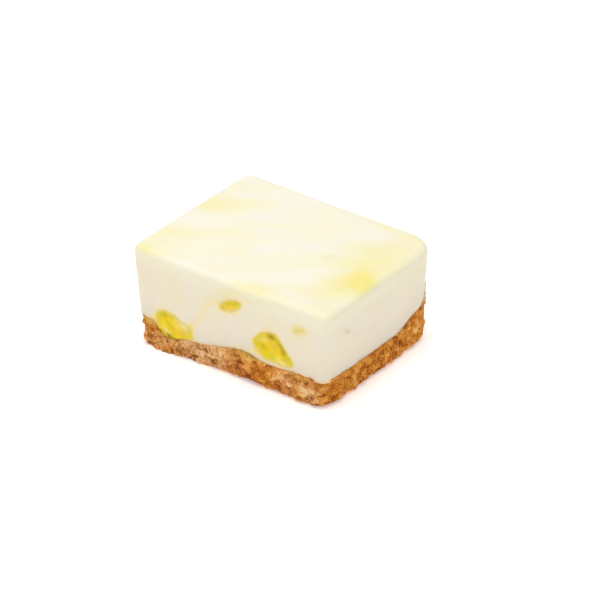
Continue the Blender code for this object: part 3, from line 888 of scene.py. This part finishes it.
print("stage: crumb base")
core, sidePoints = makeCore()
normals = np.zeros(len(core.data.vertices) * 3)
core.data.vertex_normals.foreach_get("vector", normals)
normals = normals.reshape(-1, 3)[sidePoints]
sidePlaces = meshPoints(core)[sidePoints]
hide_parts("crumb_base")
crumbs = [scatter("crumbs_" + size, spec, sidePlaces, normals) for size, spec in looseCrumbs.items()]


# Curd that stains the filling. Spots on the long face are at x and z, on the short face at y and z and
# on the top at x and y.

stains = {
    "top": [
        (33.0, -9, 9, 8, 0.45), (35.3, -6.6, 3.5, 6.5, 0.60, 37), (29, -16, 9, 8, 0.25),
        (31.5, 7, 11, 13, 0.46), (-30.1, 6.8, 11, 9, 0.38, 37), (-36.8, 3, 6, 5, 0.25),
        (-33, -22, 9, 12, 0.28), (34, 26, 8, 6, 0.20), (11, -30, 9, 3, 0.45, 8), (20.7, 28, 6, 3, 0.30),
        (-35.5, -31, 4, 3, 0.35),
    ],
    "topCream": [
        (31.7, -27.3, 12, 8, 1.0), (30, 19, 10, 10, 1.0),
    ],
    "topPale": [
        (-1.3, -7.5, 7, 3, 0.8, 50), (22.7, 22, 7, 4, 0.7, 30), (-30.3, -7, 6, 3.5, 0.6),
        (24.7, -27, 7, 3, 0.7),
    ],
    "topOlive": [
        (17.7, 0.4, 3.5, 2.0, 0.45, 37), (22.5, 2.5, 2.0, 0.8, 0.3, 30),
        (31.9, -14.6, 2.0, 0.9, 0.35, 37),
    ],
    "frontThreads": [
        {"through": [(-14.8, 12.6), (-11.2, 17.6), (-8.4, 23), (-5.8, 26.1), (-3.1, 26.0)],
         "width": 1.5, "strength": 0.50},
        {"through": [(-2.6, 30.2), (3.2, 32.2), (9.6, 33.4)], "width": 1.6, "strength": 0.50},
        {"through": [(6.2, 29.0), (10.7, 30.6), (16.2, 32.2)], "width": 1.3, "strength": 0.32},
        {"through": [(18.3, 33.0), (18.6, 28), (18.1, 22.6)], "width": 1.1, "strength": 0.25},
        {"through": [(1.7, 12.0), (6.7, 12.9), (12.4, 12.2)], "width": 0.8, "strength": 0.5},
        {"through": [(27.5, 22.5), (30.5, 23.5)], "width": 2.0, "strength": 0.18},
    ],
    "frontSpots": [
        (-30.8, 11.2, 2.2, 1.7, 0.75), (-16.2, 13.2, 1.6, 1.4, 0.40),
    ],
    "smears": [
        (-14.9, 13.6, 1.5, 1.8, 0.40), (-30.6, 10.4, 1.8, 1.5, 0.75), (-28.8, 8.4, 1.4, 1.2, 0.55),
        (-2.4, 25.0, 1.2, 0.8, 0.45), (14.6, 19.8, 1.6, 0.8, 0.35),
    ],
    "rightSpots": [
        (20.4, 29.8, 4, 2.5, 0.2), (9.0, 31.0, 14, 6, 0.24),
    ],
    # painted shade in the small pits of the short face
    "dimples": [
        (-20.6, 24.6, 1.9, 0.9, 0.38, -24), (-15.3, 20.6, 1.4, 0.8, 0.18, -24),
    ],
    "faceDepth": 0.0015, "topFrom": 0.75,          # which points lie on a face, and on the top
    "ragged": 0.8, "raggedLength": 0.0035,
    "haloWidth": 1.4, "haloStrength": 0.75,
    "bleedWidth": 0.55, "bleedStrength": 0.85, "bleedsFrom": 0.0030,      # half width of a ribbon
    "crumbStain": 0.7, "stainHeight": 0.0005,      # above the crumb base
    "duller": 0.7, "dullHeight": 0.0070,
    # painted light: a lighter, warmer band on the sides just under the rim
    "underRim": 0.8, "paintedLightUnderRimHeight": 0.0030,     # a lighter, warmer band
}


def stainFilling(body):
    points = meshPoints(body)
    x, y, z = points.T
    _, right, front, _ = sideReach(z / piece["height"])
    rimFoot = topHeight(x, y) - piece["rim"]
    onTop = np.clip((z - rimFoot) / (stains["topFrom"] * piece["rim"]), 0, 1)
    onFront = (y < -front + stains["faceDepth"]) * 1.0
    onRight = (x > right - stains["faceDepth"]) * 1.0
    paint(body, "onTop", onTop)
    for name in ("top", "topCream", "topPale", "topOlive"):
        paint(body, name, onTop * np.clip(allSpots(x, y, stains[name]), 0, 1))
    ragged = 1 + stains["ragged"] * rough(points, stains["raggedLength"], 3, seed=6.0)
    wide = [spec for spec in ribbons.values() if spec["half"][0] > stains["bleedsFrom"]]
    halo, bleed = (np.exp(-(nearRibbons(points, specs) / (stains[width] * millimetre * ragged)) ** 2)
                   for specs, width in ((ribbons.values(), "haloWidth"), (wide, "bleedWidth")))
    threads = sum(alongThread(x, z, thread) for thread in stains["frontThreads"])
    threads = threads + allSpots(x, z, stains["frontSpots"])
    spots = allSpots(y, z, stains["rightSpots"])
    lemon = stains["haloStrength"] * halo + onFront * threads + onRight * spots
    paint(body, "lemonSide", np.clip(lemon, 0, 1))
    smears = onFront * allSpots(x, z, stains["smears"])
    paint(body, "curdSide", np.clip(stains["bleedStrength"] * bleed * (1 - onTop) + smears, 0, 1))
    above = np.clip(z - crustTop(x, y), 0, None)
    paint(body, "crumbStain", stains["crumbStain"] * np.exp(-above / stains["stainHeight"]))
    paint(body, "duller", stains["duller"] * np.exp(-above / stains["dullHeight"]))
    # Painted light: a lighter, warmer band on the sides just under the rim
    below = np.clip(rimFoot - z, 0, None)
    paint(body, "underRim", stains["underRim"] * np.exp(-(below / stains["paintedLightUnderRimHeight"]) ** 2))
    # Painted shade in the small pits of the short face
    paint(body, "dimples", onRight * allSpots(y, z, stains["dimples"]))


print("stage: stains")
stainFilling(block)
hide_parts("cheese_filling")


# Finishes. Colours are as a screen shows them. A tint is a painted layer, its strength and its colour.

fillingLook = {
    "top": ((254, 249, 234), (254, 248, 223)),
    "cream": ("topCream", 0.8, (253, 241, 207)),
    "lemon": (251, 236, 146),
    "topTints": [("topPale", 0.6, (253, 247, 239)), ("topOlive", 0.6, (226, 219, 134))],
    "side": ((251, 237, 209), (249, 238, 217)),
    # the first side tint is painted light, a lighter band just under the rim
    "sideTints": [("underRim", 1.0, (255, 245, 219)), ("duller", 1.0, (223, 217, 204))],
    "lemonSide": (252, 228, 142), "curdSide": (240, 204, 76),
    # the first spot tint is painted shade in the small pits of the short face
    "spotTints": [("dimples", 1.0, (196, 190, 160)), ("crumbStain", 1.0, (240, 200, 146))],
    "spreadTurn": 37,          # degrees, the way the top was spread
    "streakLength": 0.0115, "streakStretch": (2.4, 0.8, 1.0), "swirlLength": 0.020, "swirl": 0.010,
    "fineLength": 0.0028, "fineStretch": (3.5, 0.6, 1.0),
    "cloudLength": 0.012,
    "threadLength": 0.004, "threadSwirlLength": 0.008, "threadSwirl": 0.006,
    "grainLength": 0.0007, "grainDepth": 0.00006,
    "poreSpacing": 0.0021, "poreDepth": 0.0002, "poreFields": 0.006,
    "roughness": 0.36, "roughnessChange": 0.2, "roughnessLength": 0.003,
}
curdLook = {
    "body": ((236, 202, 0), (250, 222, 16)),
    # pale and warm tints are partly painted highlights on the gel, partly the curd's own colour
    "tints": [("warm", 0.8, (246, 200, 60)), ("rim", 1.0, (248, 222, 112)),
              ("pale", 0.9, (250, 235, 166)), ("lime", 0.8, (210, 208, 36))],
    "shade": (150, 128, 0),
    "cloudLength": 0.0030, "swirlLength": 0.006, "swirl": 0.004,
    "lumpLength": 0.0014, "lumpDepth": 0.00022,
    "roughness": 0.26,
}
crumbLook = {
    "orange": [(0.0, (146, 66, 0)), (0.25, (196, 112, 14)), (0.52, (226, 152, 48)),
               (0.78, (246, 182, 90)), (1.0, (252, 202, 126))],        # from the darkest tone to the lightest
    "peach": [(0.0, (158, 100, 42)), (0.25, (210, 154, 92)), (0.52, (236, 190, 132)),
              (0.78, (250, 218, 176)), (1.0, (254, 236, 206))],
    "rust": (238, 138, 82), "rustStrength": 0.3, "rustLength": 0.0017,
    "tints": [("gold", 0.8, (236, 198, 104)), ("olive", 0.8, (150, 122, 30))],
    "speckleLength": 0.0005, "speckle": 0.24, "speckleDepth": 0.00012,
    "roughness": 0.75,
}


def fillingFinish():
    f = Finish("creamy_filling")
    look = fillingLook
    places = f.places()
    onTop = f.painted("onTop")
    spread = f.stretched(places, look["spreadTurn"], look["streakStretch"])
    streaks = f.cloud(f.shifted(spread, look["swirlLength"], look["swirl"]), look["streakLength"], 2, 0.35)
    drawn = f.stretched(places, look["spreadTurn"], look["fineStretch"])
    fineStreaks = f.cloud(drawn, look["fineLength"], 3, 0.5)
    lemon = f.painted("top") * 1.1 + (streaks - 0.5) * 0.5 + (fineStreaks - 0.5) * 0.05
    lemon = lemon.limited(-0.15, 1.05) * (1 - f.painted("topPale"))
    wash = (streaks * 0.95 + fineStreaks * 0.1).limited(0.35, 0.75)
    top = f.tinted(f.between(wash, *look["top"]), look["cream"])
    top = f.tinted(f.mixed(lemon, top, screen(*look["lemon"])), *look["topTints"])
    clouds = f.cloud(places, look["cloudLength"], 2)
    side = f.tinted(f.between(clouds.limited(0.35, 0.65), *look["side"]), *look["sideTints"])
    pushed = f.shifted(places, look["threadSwirlLength"], look["threadSwirl"])
    threads = f.cloud(pushed, look["threadLength"], 3).limited(0.45, 0.75)
    lemonSide = (f.painted("lemonSide") * (threads * 0.5 + 0.75)).limited(0.0, 0.95)
    side = f.mixed(lemonSide, side, screen(*look["lemonSide"]))
    curdSide = (f.painted("curdSide") * (threads * 0.6 + 0.6)).limited(0.05, 1.0)
    side = f.tinted(f.mixed(curdSide, side, screen(*look["curdSide"])), *look["spotTints"])
    grains = f.cloud(places, look["grainLength"], 3, 0.6)
    pores = f.node("TexVoronoi", {"feature": "F1"}, {"Vector": places, "Scale": 1 / look["poreSpacing"]})
    holes = 1 - pores.limited(0.05, 0.16)
    here = f.cloud(places, look["poreFields"], 1).limited(0.5, 0.6)
    normal = f.bumps(grains, look["grainDepth"])
    normal = f.bumps(1 - holes * here * (1 - onTop), look["poreDepth"], 1.0, normal)
    roughness = f.cloud(places, look["roughnessLength"], 2) * look["roughnessChange"] + look["roughness"]
    f.surface(Base_Color=f.mixed(onTop, side, top), Roughness=roughness, Normal=normal, IOR=1.42,
              Subsurface_Weight=0.45, Subsurface_Radius=(1.0, 0.85, 0.6), Subsurface_Scale=0.0014,
              Coat_Weight=0.06, Coat_Roughness=0.3)
    return f.material


def curdFinish():
    f = Finish("lemon_curd")
    look = curdLook
    places = f.places()
    clouds = f.cloud(f.shifted(places, look["swirlLength"], look["swirl"]), look["cloudLength"], 3)
    colour = f.tinted(f.between(clouds.limited(0.35, 0.65), *look["body"]), *look["tints"])
    shade = (f.painted("shade") * (clouds * 0.8 + 0.6)).limited()
    colour = f.mixed(shade, colour, screen(*look["shade"]))
    normal = f.bumps(f.cloud(places, look["lumpLength"], 3), look["lumpDepth"], 0.6)
    f.surface(Base_Color=colour, Roughness=look["roughness"], Normal=normal, IOR=1.42,
              Subsurface_Weight=0.25, Subsurface_Radius=(1.0, 0.8, 0.15), Subsurface_Scale=0.0010,
              Specular_IOR_Level=0.15, Coat_Weight=0.08, Coat_Roughness=0.15)
    return f.material


def crumbFinish():
    f = Finish("biscuit_crumb")
    look = crumbLook
    places = f.places()
    speckle = f.cloud(places, look["speckleLength"], 3, 0.6)
    tone = f.painted("tone") + (speckle - 0.5) * look["speckle"]
    colour = f.mixed(f.painted("peach"), f.ramp(tone, look["orange"]), f.ramp(tone, look["peach"]))
    rusty = f.cloud(places, look["rustLength"], 2).limited(0.5, 0.68)
    colour = f.mixed(rusty * look["rustStrength"], colour, screen(*look["rust"]))
    colour = f.tinted(colour, *look["tints"])
    normal = f.bumps(speckle, look["speckleDepth"], 0.7)
    f.surface(Base_Color=colour, Roughness=look["roughness"], Normal=normal, Specular_IOR_Level=0.2)
    return f.material


def dress(thing, finish):
    thing.data.materials.clear()
    thing.data.materials.append(finish)


print("stage: finishes")
dress(block, fillingFinish())
gel = curdFinish()
for curd, _ in curds:
    dress(curd, gel)
biscuit = crumbFinish()
for thing in [core, *crumbs]:
    dress(thing, biscuit)


# Camera, floor and light

view = {"azimuth": 36.40, "elevation": 28.68, "distance": 0.60045, "lens": 108.0, "sensor": 36.0,
        "lookAt": (0.00073, 0, 0.017), "toRight": 0.004105, "up": -0.002459}
floorFinish = {"reach": 3.0, "colour": screen(250, 251, 251), "roughness": 0.6, "glow": 0.36}
light = {
    "world": (1.0, 0.99, 0.98), "worldStrength": 0.34,
    "lamps": [                      # place, size, power, colour
        ((-0.02, -0.08, 0.87), 0.75, 6.35, (1.0, 0.98, 0.95)),
        ((-0.45, -0.60, 0.55), 0.30, 0.04, (1.0, 0.98, 0.93)),
        ((0.70, -0.30, 0.50), 0.40, 0.08, (1.0, 0.98, 0.94)),
    ],
}


def facing(thing, target):
    thing.rotation_euler = (Vector(target) - thing.location).to_track_quat("-Z", "Y").to_euler()


def makeCamera():
    azimuth, elevation = math.radians(view["azimuth"]), math.radians(view["elevation"])
    back = Vector((math.sin(azimuth) * math.cos(elevation), -math.cos(azimuth) * math.cos(elevation),
                   math.sin(elevation)))
    right = Vector((math.cos(azimuth), math.sin(azimuth), 0))
    up = back.cross(right)
    data = bpy.data.cameras.new("camera")
    data.lens, data.sensor_width = view["lens"], view["sensor"]
    data.clip_start, data.clip_end = 0.01, 10
    camera = bpy.data.objects.new("camera", data)
    bpy.context.scene.collection.objects.link(camera)
    place = Vector(view["lookAt"]) + back * view["distance"] + right * view["toRight"] + up * view["up"]
    camera.matrix_world = Matrix.Translation(place) @ Matrix((right, up, back)).transposed().to_4x4()
    bpy.context.scene.camera = camera


def makeFloor():
    reach = floorFinish["reach"]
    corners = [(-reach, -reach, 0), (reach, -reach, 0), (reach, reach, 0), (-reach, reach, 0)]
    floor = meshObject("floor", corners, [(0, 1, 2, 3)])
    f = Finish("pale_floor")
    f.surface(Base_Color=floorFinish["colour"], Roughness=floorFinish["roughness"],
              Emission_Color=floorFinish["colour"], Emission_Strength=floorFinish["glow"])
    floor.data.materials.append(f.material)


def makeLight():
    world = bpy.data.worlds.new("soft_room")
    world.use_nodes = True
    background = world.node_tree.nodes["Background"]
    background.inputs["Color"].default_value = (*light["world"], 1)
    background.inputs["Strength"].default_value = light["worldStrength"]
    bpy.context.scene.world = world
    for number, (place, size, power, colour) in enumerate(light["lamps"]):
        data = bpy.data.lights.new(f"softbox_{number}", "AREA")
        data.size, data.energy, data.color = size, power, colour
        lamp = bpy.data.objects.new(data.name, data)
        bpy.context.scene.collection.objects.link(lamp)
        lamp.location = place
        facing(lamp, view["lookAt"])


print("stage: camera and light")
makeCamera()
makeFloor()
makeLight()
bpy.context.scene.view_settings.view_transform = "Standard"

for thing in [block, core, *crumbs, *[curd for curd, _ in curds]]:
    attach(thing, "root")
